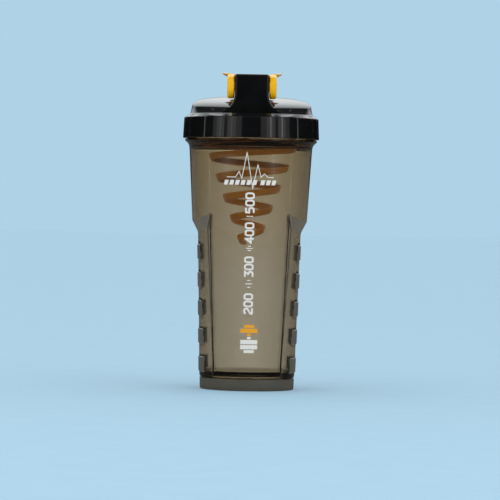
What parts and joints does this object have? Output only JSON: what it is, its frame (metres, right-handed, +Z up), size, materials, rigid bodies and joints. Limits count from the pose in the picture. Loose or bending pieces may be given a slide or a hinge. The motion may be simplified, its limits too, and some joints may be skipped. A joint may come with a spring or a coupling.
{
  "type": "shaker bottle",
  "caption": "Tapered translucent shaker cup with grip recesses, a screw lid with a hinge tower and spout, a flip cap that seals the spout, and a conical spiral mixer inside.",
  "frame": {"origin": "centre of the foot ring, on the plane that the bottle stands on", "axes": "+Z up along the bottle's axis; -Y towards the front, where the hinge tower is; +Y towards the spout; +X to the right seen from the front"},
  "size_m": [0.0974, 0.0974, 0.2267],
  "materials": {
    "smoky_clear_plastic": "glossy, clear with a smoky brown tint",
    "black_plastic": "high gloss",
    "grey_silicone": "satin",
    "amber_plastic": "glossy",
    "white_silicone": "satin",
    "orange_plastic": "semi-gloss",
    "white_print": "screen-printed ink"
  },
  "bodies": {
    "cup": {"cup": "smoky_clear_plastic"},
    "gasket": {"lid_gasket": "grey_silicone"},
    "lid": {"screw_lid": "black_plastic", "spiral_mixer": "orange_plastic"},
    "cap": {"flip_cap": "amber_plastic", "spout_plug": "white_silicone"}
  },
  "joints": [
    {"name": "lid_rise", "type": "slide", "parent": "cup", "child": "gasket", "axis": [0, 0, 1], "range_m": [0, 0.0061]},
    {"name": "lid_turn", "type": "hinge", "parent": "gasket", "child": "lid", "pos_m": [0, 0, 0.19], "axis": [0, 0, 1], "range_deg": [0, 486]},
    {"name": "flip_cap_hinge", "type": "hinge", "parent": "lid", "child": "cap", "pos_m": [0, -0.0286, 0.215], "axis": [1, 0, 0], "range_deg": [0, 165]}
  ],
  "couplings": [
    {"joint": "lid_rise", "follows": "lid_turn", "m_per_rad": 0.0007162}
  ]
}
